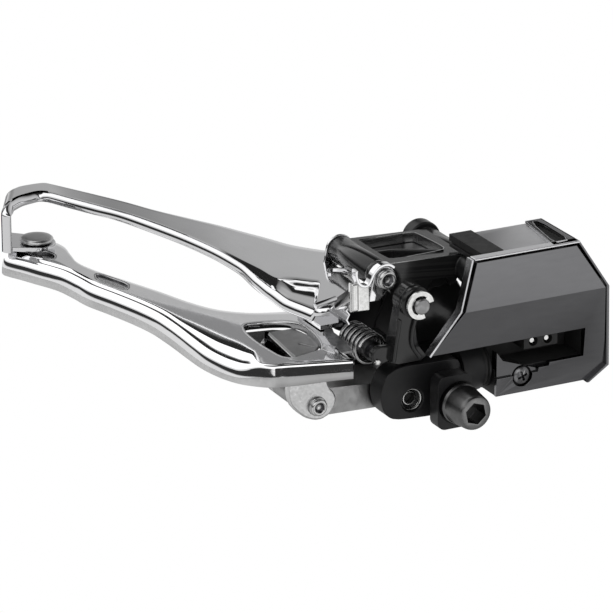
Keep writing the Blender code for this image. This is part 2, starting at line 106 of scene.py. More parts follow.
class Finish(Graph):
    """A node material, written round its Principled shader."""

    def __init__(self, name, **values):
        self.mat = bpy.data.materials.new(name)
        self.mat.use_nodes = True
        super().__init__(self.mat.node_tree)
        self.shader = self.tree.nodes["Principled BSDF"]
        self.coords = self.node("ShaderNodeTexCoord").outputs["Object"]
        for key, value in values.items():
            self.shader.inputs[key.replace("_", " ")].default_value = value

    def texture(self, kind, stretch, output, **values):
        mapping = self.node("ShaderNodeMapping", Scale=stretch)
        self.link(self.coords, mapping.inputs["Vector"])
        made = self.node(kind, **values)
        self.link(mapping.outputs["Vector"], made.inputs["Vector"])
        return made.outputs[output]

    def noise(self, scale, detail=4.0, stretch=(1, 1, 1), rough=0.55):
        return self.texture("ShaderNodeTexNoise", stretch, "Fac", Scale=scale, Detail=detail,
            Roughness=rough)

    def blend(self, factor, first, second):
        """Mix of two colours, each a tuple or a socket."""
        made = self.node("ShaderNodeMix", data_type="RGBA")
        self.link(factor, made.inputs["Factor"])
        for place, colour in ((6, first), (7, second)):
            if isinstance(colour, tuple):
                made.inputs[place].default_value = (*colour, 1.0)
            else:
                self.link(colour, made.inputs[place])
        return made.outputs[2]

    def clouded(self, scale, detail, low, high, colour, share):
        """The colour, drifting to a share of itself."""
        return self.blend(self.remap(self.noise(scale, detail), low, high), colour, shade(colour, share))

    def paint(self, colour):
        self.link(colour, self.shader.inputs["Base Color"])

    def roughen(self, texture, low, high, to_low, to_high):
        self.link(self.remap(texture, low, high, to_low, to_high), self.shader.inputs["Roughness"])

    def edge(self, low=0.51, high=0.56):
        """1 along convex edges, 0 elsewhere."""
        geometry = self.node("ShaderNodeNewGeometry")
        return self.remap(geometry.outputs["Pointiness"], low, high)

    def bump(self, height, distance, strength=1.0, after=None):
        made = self.node("ShaderNodeBump", Distance=distance, Strength=strength)
        self.link(height, made.inputs["Height"])
        if after is not None:
            self.link(after, made.inputs["Normal"])
        self.link(made.outputs["Normal"], self.shader.inputs["Normal"])
        return made.outputs["Normal"]


def shade(colour, share):
    return tuple(c * share for c in colour)


def chrome(name, tint):
    """Polished chrome plate: faint orange peel, hairline wipe marks, slight haze."""
    g = Finish(name, Metallic=1.0)
    g.paint(g.clouded(60.0, 3.0, 0.35, 0.7, tint, 0.94))
    hair = g.noise(900.0, 2.0, (0.15, 1.0, 1.0))
    g.roughen(hair, 0.3, 0.8, 0.05, 0.10)
    g.bump(hair, 0.00001, 0.05, g.bump(g.noise(220.0, 2.0), 0.00002, 0.12))
    return g.mat


def brushed(name, colour, rough, along=(0.08, 1.0, 1.0), depth=0.25):
    """Satin metal with fine parallel grinding marks."""
    g = Finish(name, Metallic=1.0)
    marks = g.noise(1500.0, 3.0, along)
    g.paint(g.clouded(90.0, 4.0, 0.3, 0.7, colour, 0.82))
    g.roughen(marks, 0.25, 0.75, rough - 0.07, rough + 0.1)
    g.bump(marks, 0.00004, depth)
    return g.mat


def cast_metal(name, colour, rough, grain=1400.0):
    """Blasted cast metal: fine pitted grain and cloudy tone."""
    g = Finish(name, Metallic=1.0)
    g.paint(g.clouded(140.0, 5.0, 0.3, 0.7, colour, 0.75))
    g.roughen(g.noise(500.0), 0.3, 0.7, rough - 0.06, rough + 0.08)
    pits = g.texture("ShaderNodeTexVoronoi", (1, 1, 1), "Distance", Scale=grain * 0.6)
    g.bump(pits, 0.00006, 0.2, g.bump(g.noise(grain, 5.0), 0.00012, 0.35))
    return g.mat


def black_paint(name, colour, rough, grain, scale, edge_highlight_and_wear, shine=0.30):
    """Black finish on metal: slight grain, a little dust, and convex edges painted lighter as a painted
    highlight along them, with some wear.
    """
    g = Finish(name, Metallic=0.0, Specular_IOR_Level=shine)
    # convex edges take the second colour: painted highlight along the edges, with some wear
    g.paint(g.blend(g.edge(), colour, edge_highlight_and_wear))
    g.roughen(g.noise(160.0, 5.0), 0.3, 0.7, rough - 0.04, rough + 0.06)
    g.bump(g.noise(scale, 4.0), 0.00006, grain)
    return g.mat


def anodised(name, colour, rough, edge_highlight_and_wear_share=1.9):
    """Dark smooth plating with a soft sheen, a trace of haze and fine handling marks; convex edges
    painted lighter, a painted highlight with some wear.
    """
    g = Finish(name, Metallic=1.0)
    # convex edges lightened by the last argument's share: painted highlight along the edges, with some
    # wear
    g.paint(g.blend(g.edge(0.515, 0.57), g.clouded(45.0, 3.0, 0.3, 0.7, colour, 0.93),
        shade(colour, edge_highlight_and_wear_share)))
    g.roughen(g.noise(1100.0, 3.0, (1.0, 1.0, 0.2)), 0.3, 0.75, rough, rough + 0.06)
    g.bump(g.noise(1700.0, 3.0), 0.00002, 0.12)
    return g.mat


def burnished(name, colour, pale):
    """Blackened steel, mottled, with its convex edges painted pale grey."""
    g = Finish(name, Metallic=1.0)
    mottle = g.remap(g.noise(420.0, 6.0, rough=0.7), 0.42, 0.68)
    g.paint(g.blend(g.edge(0.52, 0.6), g.blend(mottle, colour, pale), (0.5, 0.5, 0.5)))
    g.roughen(mottle, 0.0, 1.0, 0.4, 0.25)
    g.bump(g.noise(1100.0, 5.0), 0.00006, 0.3)
    return g.mat


def moulded(name, colour, rough, grain=0.3):
    """Moulded rubber or plastic with a fine texture."""
    g = Finish(name)
    g.paint(g.clouded(200.0, 4.0, 0.3, 0.7, colour, 1.6))
    g.roughen(g.noise(700.0), 0.3, 0.7, rough - 0.05, rough + 0.08)
    g.bump(g.noise(1600.0, 3.0), 0.00008, grain)
    return g.mat


MAT = {
    # the inner plate's chrome, tinted lighter than the outer plate's: painted light that lifts the plate
    # out of the shade of the parts round it
    "polished": chrome("chrome_plate_brightened", (0.97, 0.97, 0.98)),
    "chrome": chrome("chrome_plate", (0.80, 0.80, 0.81)),
    "chrome_edge": brushed("chrome_cut_edge", (0.80, 0.80, 0.79), 0.30),
    "satin": brushed("satin_lug", (0.76, 0.76, 0.76), 0.33, (1.0, 1.0, 1.0), 0.15),
    "cast": cast_metal("cast_link", (0.46, 0.46, 0.46), 0.38),
    "steel": brushed("turned_steel", (0.70, 0.70, 0.70), 0.20, (1.0, 1.0, 1.0), 0.12),
    "dark": burnished("blackened_steel", (0.085, 0.085, 0.09), (0.26, 0.26, 0.27)),
    # second colour of each black finish: painted edge highlight, with some wear
    "gloss": black_paint("gloss_black", (0.008, 0.008, 0.009), 0.15, 0.05, 900.0,
                         (0.035, 0.035, 0.035), 0.42),
    "base": black_paint("cast_black", (0.016, 0.016, 0.017), 0.34, 0.22, 1300.0, (0.018, 0.018, 0.019)),
    "cover": anodised("cover_black", (0.118, 0.118, 0.122), 0.14),
    "case": anodised("case_grey", (0.50, 0.50, 0.51), 0.30),
    "shell": black_paint("case_black", (0.018, 0.018, 0.019), 0.38, 0.15, 1300.0, (0.022, 0.022, 0.023)),
    "lug_face": anodised("lug_black", (0.105, 0.105, 0.108), 0.20, 1.0),
    "rubber": moulded("soft_black", (0.020, 0.020, 0.020), 0.55),
    "board": moulded("board_green", (0.010, 0.060, 0.025), 0.45, 0.1),
    "bolt_face": cast_metal("bolt_rim", (0.26, 0.26, 0.26), 0.30, 700.0),
    "bolt": cast_metal("bolt_black", (0.17, 0.17, 0.17), 0.33, 700.0),
    "button": anodised("button_steel", (0.46, 0.46, 0.46), 0.30),
    # lighter grey for the rims and seam of the outer link, a painted highlight along its edges; also the
    # spring's own grey
    "link_rim": anodised("rim_highlight_and_spring_grey", (0.34, 0.34, 0.34), 0.22),
    "bright": brushed("bright_facet", (0.82, 0.82, 0.81), 0.22, (1.0, 1.0, 1.0), 0.05),
    # lighter grey for the strip along the cover's left edge: a painted highlight line
    "cover_rim": anodised("cover_rim_highlight_grey", (0.42, 0.42, 0.43), 0.20),
    "brass": brushed("contact_brass", (0.85, 0.85, 0.84), 0.22),
}

# ---- mesh helpers ----


def to_object(bm, name, material, smooth=35.0):
    """Object from a mesh under way, shaded smooth across edges flatter than smooth degrees."""
    bmesh.ops.recalc_face_normals(bm, faces=bm.faces)
    mesh = bpy.data.meshes.new(name)
    bm.to_mesh(mesh)
    bm.free()
    mesh.shade_smooth()
    mesh.set_sharp_from_angle(angle=radians(smooth))
    for mat in (material if isinstance(material, (list, tuple)) else [material]):
        mesh.materials.append(MAT[mat])
    obj = bpy.data.objects.new(name, mesh)
    scene.collection.objects.link(obj)
    return obj


def soften(obj, width, segments=3, angle=30.0):
    """Rounds the edges that are sharper than angle degrees."""
    soft = obj.modifiers.new("soft_edges", "BEVEL")
    soft.width = width * MM
    soft.segments = segments
    soft.limit_method = "ANGLE"
    soft.angle_limit = radians(angle)
    soft.harden_normals = True
    return obj


def keep(node, material, bevel):
    """Shows a CAD node with softened edges and its own finish."""
    obj = nodes[node]
    obj.data.materials.clear()
    obj.data.materials.append(MAT[material])
    if bevel:
        flat = obj.modifiers.new("planar", "DECIMATE")
        flat.decimate_type = "DISSOLVE"
        flat.angle_limit = radians(2.0)
        soften(obj, bevel, 3, 32.0)


def curve(knots, count):
    """count + 1 points of a smooth curve through the knots, evenly spread over the knots."""
    last = len(knots) - 1
    out = []
    for i in range(count + 1):
        place = i / count * last
        k = min(int(place), last - 1)
        t = place - k
        p0, p1, p2, p3 = (knots[max(k - 1, 0)], knots[k], knots[k + 1], knots[min(k + 2, last)])
        out.append(tuple(
            0.5 * (2 * b + (c - a) * t + (2 * a - 5 * b + 4 * c - d) * t * t
                   + (3 * b - a - 3 * c + d) * t ** 3) for a, b, c, d in zip(p0, p1, p2, p3)))
    return out


def spot(axis, a, b, level):
    """Scene point from the two lengths of an outline and a level along the axis."""
    return Vector({"X": (level, a, b), "Y": (a, level, b), "Z": (a, b, level)}[axis]) * MM


def prism(axis, outline, lo, hi):
    """Mesh of an outline drawn out along the axis."""
    bm = bmesh.new()
    low, high = ([bm.verts.new(spot(axis, a, b, level)) for a, b in outline] for level in (lo, hi))
    bm.faces.new(low)
    bm.faces.new(high[::-1])
    for i in range(len(outline)):
        j = (i + 1) % len(outline)
        bm.faces.new((low[i], low[j], high[j], high[i]))
    return bm


def cutter(axis, outline, lo, hi):
    return to_object(prism(axis, outline, lo, hi), "cutter", "chrome", 30.0)


def skin(bm, rows, slots):
    """Quads between neighbouring closed rows; slots are the material of each place in a row."""
    for one, two in zip(rows, rows[1:]):
        for k, slot in enumerate(slots):
            n = (k + 1) % len(slots)
            bm.faces.new((one[k], one[n], two[n], two[k])).material_index = slot


def cut(obj, cutters):
    """Takes the cutters out of the object and deletes them."""
    for tool in cutters:
        mod = obj.modifiers.new("cut", "BOOLEAN")
        mod.operation = "DIFFERENCE"
        mod.solver = "EXACT"
        mod.object = tool
    graph = bpy.context.evaluated_depsgraph_get()
    graph.update()
    mesh = bpy.data.meshes.new_from_object(obj.evaluated_get(graph))
    obj.modifiers.clear()
    obj.data = mesh
    for tool in cutters:
        bpy.data.objects.remove(tool, do_unlink=True)
    mesh.shade_smooth()
    mesh.set_sharp_from_angle(angle=radians(50.0))
    return obj


def block(name, axis, outline, lo, hi, material, bevel=0.2, holes=()):
    """Prism with softened edges; holes are (axis, outline, lo, hi)."""
    obj = to_object(prism(axis, outline, lo, hi), name, material, 30.0)
    if holes:
        cut(obj, [cutter(*hole) for hole in holes])
        obj.data.set_sharp_from_angle(angle=radians(30.0))
    return soften(obj, bevel) if bevel else obj


def ring(centre, radius, count=40, start=0.0):
    """Circle round the centre, as an outline."""
    turns = [radians(start + 360.0 * i / count) for i in range(count)]
    return [(centre[0] + radius * cos(turn), centre[1] + radius * sin(turn)) for turn in turns]


def bore(centre, radius, lo=-40.0, hi=0.0, count=32):
    """A hole along the pins, for block or cutter."""
    return "X", ring(centre, radius, count), lo, hi


def rect(a0, b0, a1, b1):
    """Upright rectangle, as an outline."""
    return [(a0, b0), (a1, b0), (a1, b1), (a0, b1)]


def hull(points):
    """Convex hull of (a, b) points, anticlockwise."""
    points = sorted(set(points))
    chains = []
    for run in (points, points[::-1]):
        chain = []
        for p in run:
            while len(chain) > 1:
                (a0, b0), (a1, b1) = chain[-2:]
                if (a1 - a0) * (p[1] - b0) > (b1 - b0) * (p[0] - a0):
                    break
                chain.pop()
            chain.append(p)
        chains.append(chain[:-1])
    return chains[0] + chains[1]


def band(path, half):
    """Outline of a strip of the given half width along an open plane path."""
    sides = ([], [])
    for i, (a, b) in enumerate(path):
        a0, b0 = path[max(i - 1, 0)]
        a1, b1 = path[min(i + 1, len(path) - 1)]
        length = hypot(a1 - a0, b1 - b0) or 1.0
        na, nb = -(b1 - b0) / length * half, (a1 - a0) / length * half
        sides[0].append((a + na, b + nb))
        sides[1].append((a - na, b - nb))
    return sides[0] + sides[1][::-1]


def lathe(name, axis, centre, profile, materials, sides=64):
    """Turned piece; the profile is (radius, level[, material]) from axis to axis."""
    bm = bmesh.new()
    profile = [(*corner, 0)[:3] for corner in profile]
    rows = []
    for radius, level, _ in profile:
        circle = ring(centre, radius, sides) if radius else [centre]
        rows.append([bm.verts.new(spot(axis, a, b, level)) for a, b in circle])
    for (one, two), (_, _, slot) in zip(zip(rows, rows[1:]), profile):
        for k in range(sides):
            n = (k + 1) % sides
            if len(one) == 1:
                face = bm.faces.new((one[0], two[k], two[n]))
            elif len(two) == 1:
                face = bm.faces.new((one[k], one[n], two[0]))
            else:
                face = bm.faces.new((one[k], one[n], two[n], two[k]))
            face.material_index = slot
    return to_object(bm, name, materials, 40.0)


def tube(name, path, radius, material, sides=14):
    """Round wire along an open 3-D path."""
    bm = bmesh.new()
    rows = []
    normal = None
    for i, p in enumerate(path):
        ahead = (Vector(path[min(i + 1, len(path) - 1)]) - Vector(path[max(i - 1, 0)])).normalized()
        if normal is None:
            normal = ahead.orthogonal().normalized()
        normal = (normal - ahead * normal.dot(ahead)).normalized()
        other = ahead.cross(normal)
        rows.append([
            bm.verts.new((Vector(p) + (normal * cos(turn) + other * sin(turn)) * radius) * MM)
            for turn in (2 * pi * k / sides for k in range(sides))])
    skin(bm, rows, [0] * sides)
    bm.faces.new(rows[0][::-1])
    bm.faces.new(rows[-1])
    return to_object(bm, name, material, 60.0)


def dress(body, node, main, *others):
    """The main piece takes the CAD node's place; the others go on the same body."""
    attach(main, body)
    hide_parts(node)
    for part in others:
        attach(part, body)


# ---- camera, light and surroundings ----

CAMERA_TURN = -63.0        # of the picture's right-hand side from +X, in the X-Z plane
CAMERA_RISE = 20.5         # the drive side is the picture's top; the camera looks down on it
CAMERA_FAR = 975.6
LENS, SENSOR = 234.9, 36.0
AIM_RIGHT, AIM_UP = 33.78, 21.02    # from the origin to the middle of the picture


def add_camera():
    turn, rise = radians(CAMERA_TURN), radians(CAMERA_RISE)
    right = Vector((cos(turn), 0.0, -sin(turn)))
    away = Vector((sin(turn), 0.0, cos(turn)))
    look = away * cos(rise) + Vector((0.0, sin(rise), 0.0))
    up = right.cross(look)
    data = bpy.data.cameras.new("camera")
    data.lens = LENS
    data.sensor_width = SENSOR
    data.clip_start = 0.05
    data.clip_end = 20.0
    cam = bpy.data.objects.new("camera", data)
    place = up * AIM_UP - right * AIM_RIGHT - look * CAMERA_FAR
    rot = Matrix((right, up, -look)).transposed().to_4x4()
    cam.matrix_world = Matrix.Translation(place * MM) @ rot
    scene.collection.objects.link(cam)
    scene.camera = cam


# Strip lights and flags lie along the part, so their brightness goes by the angle round its
# length: degrees from straight below, negative towards the drive side, against brightness.
STRIPS = [
    (-180, 0.70), (-160, 0.66), (-150, 0.57), (-143, 0.50), (-139.5, 0.475), (-136, 0.36),
    (-131, 0.25), (-126, 0.02), (-106, 0.02), (-101, 1.30), (-34, 1.30), (-24, 0.80), (-18, 0.70),
    (-15, 0.03), (0, 0.03), (4, 0.75), (60, 0.70), (100, 0.35), (150, 0.30), (180, 0.70)]
# cards in front of the part: direction, full inside this angle, gone outside it, brightness
CARDS = [
    ((0.30, -0.95, 0.0), 22.0, 30.0, 0.03),
    ((0.76, 0.50, 0.42), 20.0, 42.0, 0.36),
    ((0.985, -0.13, -0.12), 7.0, 10.0, 0.03),
    ((0.88, 0.25, 0.40), 9.0, 17.0, 1.15),
]


def mix_level(g, share, before, after):
    """Brightness that goes from before (a number or a socket) to after."""
    mix = g.node("ShaderNodeMix", data_type="FLOAT")
    if isinstance(before, float):
        mix.inputs[2].default_value = before
    else:
        g.link(before, mix.inputs[2])
    mix.inputs[3].default_value = after
    g.link(share, mix.inputs[0])
    return mix.outputs[0]


def add_world():
    """A pale studio: plain white to the eye, with strip lights and flags in the reflections."""
    world = bpy.data.worlds.new("studio")
    scene.world = world
    world.use_nodes = True
    world.node_tree.nodes.clear()
    g = Graph(world.node_tree)
    coords = g.node("ShaderNodeTexCoord").outputs["Generated"]
    axes = g.node("ShaderNodeSeparateXYZ")
    g.link(coords, axes.inputs[0])
    down = g.node("ShaderNodeMath", operation="MULTIPLY")
    down.inputs[1].default_value = -1.0
    g.link(axes.outputs["Z"], down.inputs[0])
    angle = g.node("ShaderNodeMath", operation="ARCTAN2")
    g.link(axes.outputs["Y"], angle.inputs[0])
    g.link(down.outputs[0], angle.inputs[1])
    smooth = {"interpolation_type": "SMOOTHSTEP"}
    light = STRIPS[0][1]
    for (start, _), (end, level) in zip(STRIPS, STRIPS[1:]):
        share = g.remap(angle.outputs[0], radians(start), radians(end), **smooth)
        light = mix_level(g, share, light, level)
    for direction, inner, outer, level in CARDS:
        dot = g.node("ShaderNodeVectorMath", operation="DOT_PRODUCT")
        g.link(coords, dot.inputs[0])
        dot.inputs[1].default_value = Vector(direction).normalized()
        share = g.remap(dot.outputs["Value"], cos(radians(outer)), cos(radians(inner)), **smooth)
        light = mix_level(g, share, light, level)
    white = (1.0, 1.0, 1.0, 1.0)
    reflected = g.node("ShaderNodeBackground", Color=white)
    g.link(light, reflected.inputs["Strength"])
    plain = g.node("ShaderNodeBackground", Color=white)
    choose = g.node("ShaderNodeMixShader")
    g.link(g.node("ShaderNodeLightPath").outputs["Is Camera Ray"], choose.inputs["Fac"])
    g.link(reflected.outputs[0], choose.inputs[1])
    g.link(plain.outputs[0], choose.inputs[2])
    g.link(choose.outputs[0], g.node("ShaderNodeOutputWorld").inputs["Surface"])


FLOOR_SIZE, FLOOR_Z = 6.0, -0.62        # metres


def add_floor():
    """Plain pale floor, well below the part."""
    bm = bmesh.new()
    bmesh.ops.create_grid(bm, x_segments=1, y_segments=1, size=FLOOR_SIZE)
    bmesh.ops.translate(bm, verts=bm.verts, vec=(0.0, 0.0, FLOOR_Z))
    MAT["floor"] = moulded("floor_pale", (0.80, 0.80, 0.80), 0.7, 0.02)
    floor = to_object(bm, "floor", "floor")
    floor.visible_glossy = False


# ---- cage ----

OUTER_Y, INNER_Y = -27, -14        # outboard faces of the plates
SHEET = 1.3
INBOARD = Vector((0, 1, 0))
STEP_DEPTH = 1.7           # of the pressed recess at the front of the outer plate


def ease(value, low, high):
    """0 below low, 1 above high and a smooth step between."""
    t = min(max((value - low) / (high - low), 0), 1)
    return t * t * (3 - 2 * t)


def flat_frames(rungs, count, level, pressed=None):
    """Frames of a flat sheet: 3-D points across it, their press shares, the inboard direction.

    A rung is a row of (X, Z) points across the sheet; pressed gives the shares of rungs that
    have any, by the rung's number.
    """
    last = len(rungs) - 1
    tracks = [curve(track, count) for track in zip(*rungs)]
    shares = [(pressed or {}).get(k, (0,) * len(tracks)) for k in range(last + 1)]
    frames = []
    for i in range(count + 1):
        place = i / count * last
        k = min(int(place), last - 1)
        t = ease(place - k, 0, 1)
        frames.append(([Vector((x, level, z)) for x, z in (track[i] for track in tracks)],
            [a + (b - a) * t for a, b in zip(shares[k], shares[k + 1])], INBOARD))
    return frames


def sweep_sheet(name, frames, section, materials):
    """Skin of a closed section run through the frames.

    A section point is (a, b, share, offset, depth, press, material): it lies at that share of
    the way from frame point a to frame point b, offset outside the sheet's edge at that point
    (only where a == b), depth inboard of the outer face, plus press times the press share.
    The section may be a function of the way along the frames, from 0 to 1.
    """
    shape = section if callable(section) else lambda way: section
    bm = bmesh.new()
    rows = []
    for i, (points, press_at, inboard) in enumerate(frames):
        before = frames[max(i - 1, 0)][0]
        after = frames[min(i + 1, len(frames) - 1)][0]
        row = []
        for a, b, share, offset, depth, press, _ in shape(i / (len(frames) - 1)):
            place = points[a].lerp(points[b], share)
            if offset:
                out = across = (points[-1] - points[0]).normalized()
                if a in (0, len(points) - 1):
                    out = inboard.cross(after[a] - before[a]).normalized()
                    if out.dot(across) * (1 if a else -1) < 0:
                        out.negate()
                place = place + out * offset
            pressed = press_at[a] + (press_at[b] - press_at[a]) * share
            place = place + inboard * (depth + press * pressed)
            row.append(bm.verts.new(place * MM))
        rows.append(row)
    skin(bm, rows, [entry[6] for entry in shape(0)])
    bm.faces.new(rows[0])
    bm.faces.new(rows[-1][::-1])
    return to_object(bm, name, materials, 50)


# far edge, pressed ledge and near edge of the outer plate, from the hinge to the tail
OUTER_RUNGS = [
    ((-13.4, -17.4), (-7, -25.8), (-3, -30.4)), ((-20, -16.1), (-10.5, -26), (-3.2, -31.4)),
    ((-26.4, -15.9), (-14, -25.9), (-3.5, -32.4)), ((-31, -15.4), (-17, -25.4), (-4, -33.2)),
    ((-33.4, -12.6), (-18.2, -26.2), (-5.4, -33.7)), ((-37, -12.8), (-19.6, -27.8), (-9, -34.6)),
    ((-41, -15.8), (-21.6, -29.7), (-14, -35.9)), ((-46, -19.2), (-25.6, -33.2), (-20.6, -37)),
    ((-53, -22.2), (-33, -33.9), (-28.6, -36.9)), ((-60, -25.4), (-42.4, -35), (-40, -36.2)),
    ((-67.4, -28.8), (-53.8, -36.2), (-52, -37.2)), ((-76, -33.4), (-65.6, -38.6), (-64, -39.3)),
    ((-85, -38.1), (-77.2, -41.6), (-76, -42.4)), ((-94, -42), (-89.4, -46), (-89, -46.4)),
    ((-103, -46.5), (-97.2, -49.7), (-96.6, -50.2)), ((-110.5, -50.4), (-104.6, -53.3), (-104, -53.9)),
    ((-115.4, -53), (-108.9, -55.4), (-108.3, -56)), ((-117.5, -54.3), (-110.8, -56.9), (-110.4, -57.3)),
    ((-118.1, -56), (-112, -58.4), (-111.4, -58.8)), ((-118.2, -58.6), (-112, -60.6), (-111.1, -61)),
    ((-118, -61.2), (-111, -64.3), (-110, -64.6)), ((-117.2, -63), (-108.4, -67.6), (-107.6, -68.06)),
]
OUTER_PRESSED = {4: (0, 1, 1), 5: (0, 1, 1), 6: (0, 1, 1), 7: (0, 0.05, 0.50), 8: (0, 0.04, 0.40),
                 9: (0, 0.02, 0.12)}
OUTER_COUNT = 330
BULGE = 0.24               # by which the plate's middle stands inboard of its far edge
TAIL_BEND, BEND_STEPS = 2.4, 16   # radius where the outer plate turns into the wall round the tail
TAIL_DOWN = Vector((-0.466, 0, -0.885))
FLARE, NEAR_FLARE = 2.6, 4.94     # by which that wall is longer than the plate's end, at its ends
WALL_STEPS = 8
TAIL_END_Y = -14.8
TAIL_WALL = [(-104.6, -71.6), (-115.2, -66)]
RIVET, RIVET_HOLE = middle("tail_rivet")[::2], 2.6


def outer_frames():
    """Frames of the outer plate, then of the bend and the wall round the tail."""
    frames = flat_frames(OUTER_RUNGS, OUTER_COUNT, OUTER_Y, OUTER_PRESSED)
    for i, (points, _, _) in enumerate(frames):
        way = i / OUTER_COUNT
        lean = BULGE * ease(way, 0.36, 0.52) * (1 - ease(way, 0.62, 0.80))
        for point in points[1:]:
            point.y += lean
    points, _, _ = frames[-1]
    along = Vector((-TAIL_DOWN.z, 0, TAIL_DOWN.x))
    if along.dot(points[-1] - points[0]) < 0:
        along.negate()
    for i in range(1, BEND_STEPS + 1):
        turn = radians(90) * i / BEND_STEPS
        shift = TAIL_DOWN * (TAIL_BEND * sin(turn)) + INBOARD * (TAIL_BEND * (1 - cos(turn)))
        spots = [point + shift + along * sin(turn) * flare
                 for point, flare in zip(points, (FLARE, NEAR_FLARE, NEAR_FLARE))]
        inboard = INBOARD * cos(turn) - TAIL_DOWN * sin(turn)
        frames.append((spots, (0, 0, 0), inboard))
    spots, _, inboard = frames[-1]
    reach = TAIL_END_Y - spots[0].y
    for i in range(1, WALL_STEPS + 1):
        shift = INBOARD * (reach * i / WALL_STEPS)
        frames.append(([point + shift for point in spots], (0, 0, 0), inboard))
    return frames


# back and outer side of both plates' far edge
FAR_EDGE = [(0, 0, 0, -0.28, SHEET, 0, 1), (0, 0, 0, -0.02, SHEET - 0.25, 0, 1),
            (0, 0, 0, -0.02, 0.28, 0, 0), (0, 0, 0, -0.12, 0.09, 0, 0)]
OUTER_SECTION = (
    [(0, 0, 0, -0.35, 0, 0, 0)]
    + [(0, 1, s, 0, 0, 0, 0) for s in (0.1, 0.22, 0.34, 0.46, 0.58, 0.7, 0.8, 0.88)]
    + [(1, 1, 0, o, 0, d, 0) for o, d in (
        (-0.34, 0), (-0.20, 0.03), (-0.06, 0.13), (0.04, 0.32), (0.14, 0.67), (0.25, 1.06),
        (0.36, 1.45), (0.62, STEP_DEPTH))]
    + [(1, 2, s, 0, 0, STEP_DEPTH, 0) for s in (0.45, 0.6, 0.75)]
    + [(2, 2, 0, o, d, STEP_DEPTH, 0) for o, d in (
        (-0.90, 0), (-0.62, 0.06), (-0.30, 0.17), (-0.10, 0.30), (0.10, 0.48), (0.28, 0.70),
        (0.44, 1.00), (0.57, 1.36), (0.64, 1.66), (0.68, 1.95), (0.68, 2.42))]
    + [(2, 2, 0, o, d, STEP_DEPTH, 1) for o, d in ((0.58, 2.56), (0.30, 2.62), (0, 2.62))]
    + [(2, 2, 0, o, d, STEP_DEPTH, 0) for o, d in ((-0.14, 2.5), (-0.2, 2.1), (-0.4, 1.7), (-0.9, SHEET))]
    + [(1, 2, 0.6, 0, SHEET, STEP_DEPTH, 0)]
    + [(1, 1, 0, o, SHEET, d, 0) for o, d in ((0.5, 1.6), (-0.2, 1), (-0.9, 0))]
    + [(0, 1, s, 0, SHEET, 0, 0) for s in (0.7, 0.4, 0.15)]
    + FAR_EDGE)


def build_outer_plate():
    plate = sweep_sheet("outer_cage_plate", outer_frames(), OUTER_SECTION, ["chrome", "chrome_edge"])
    dress("cage", "outer_plate", plate)


# far and near edge of the inner plate, from the tail to the front
INNER_RUNGS = [
    ((-116.6, -65.2), (-105.6, -71.1)), ((-117.1, -62.4), (-104, -71)), ((-113.5, -58.6), (-99.5, -68.8)),
    ((-108, -56.3), (-95, -66.8)), ((-103, -55.5), (-90.5, -64.7)), ((-97, -56.4), (-86.5, -63.3)),
    ((-90.5, -57.2), (-80, -62.2)), ((-82.5, -55.4), (-74, -61.4)), ((-72.7, -51.7), (-66, -59)),
    ((-62, -47.7), (-57, -56.6)), ((-52, -44.4), (-49, -55.1)), ((-44, -40.5), (-42, -54.7)),
    ((-38.6, -35), (-36, -54.6)), ((-36, -29.5), (-29, -54.6)), ((-34.4, -24.2), (-22, -54.4)),
    ((-32.6, -18.6), (-16.5, -53.5)), ((-31, -15.8), (-12.3, -52.3)), ((-28.2, -17.2), (-8.6, -50.5)),
    ((-24, -19.6), (-5.6, -48.2)), ((-19.4, -22.1), (-3.4, -45.4)), ((-15.6, -24.2), (-2.36, -42)),
    ((-11, -25.6), (-1.32, -38.6)), ((-6, -26), (-0.25, -35)), ((-2, -26.2), (0.82, -31.5)),
    ((0.6, -26.3), (1.89, -28)), ((1.3, -25.6), (2.3, -26.6)),
]
INNER_COUNT = 300
# outer side of the near flange as (offset, depth): rounded over the whole height at the tail
# and window, and a tight bend over a steep band at the front
FLANGE_ROUND = [(-2.6, 0), (-2.52, 0.02), (-2.42, 0.098), (-1.1, 0.35), (-1, 0.37), (-0.92, 0.40),
    (-0.6, 0.54), (-0.15, 0.82), (0.15, 1.14), (0.40, 1.45), (0.60, 1.9), (0.76, 2.4), (0.88, 2.95),
    (0.95, 3.4), (0.99, 3.9), (1, 4.5), (1, 5.3), (0.85, 5.55), (0.3, 5.6), (0, 5.5), (-0.3, 3.4),
    (-0.9, 1.9), (-1.9, SHEET)]
FLANGE_TIGHT = [(-1, 0), (-0.93, 0.003), (-0.85, 0.02), (-0.6, 0.09), (-0.54, 0.12), (-0.48, 0.15),
    (-0.42, 0.18), (-0.22, 0.34), (-0.08, 0.55), (0.03, 0.95), (0.16, 1.45), (0.30, 1.95), (0.44, 2.5),
    (0.56, 3), (0.62, 3.5), (0.66, 4.3), (0.66, 5.3), (0.5, 5.55), (0.1, 5.6), (-0.2, 5.5), (-0.4, 3.4),
    (-0.8, 1.9), (-1.6, SHEET)]
SLOPE = 0.19              # of the shallow facet between the face and the flange
FACET_WIDE = 2.8          # of that facet beside the window
FRONT_SLIM = 0.26         # share that the flange loses in height at its front end
FLANGE_SLOT = {k: 1 if k > 16 else 2 for k in range(13, 19)}     # its cut edge and satin underside


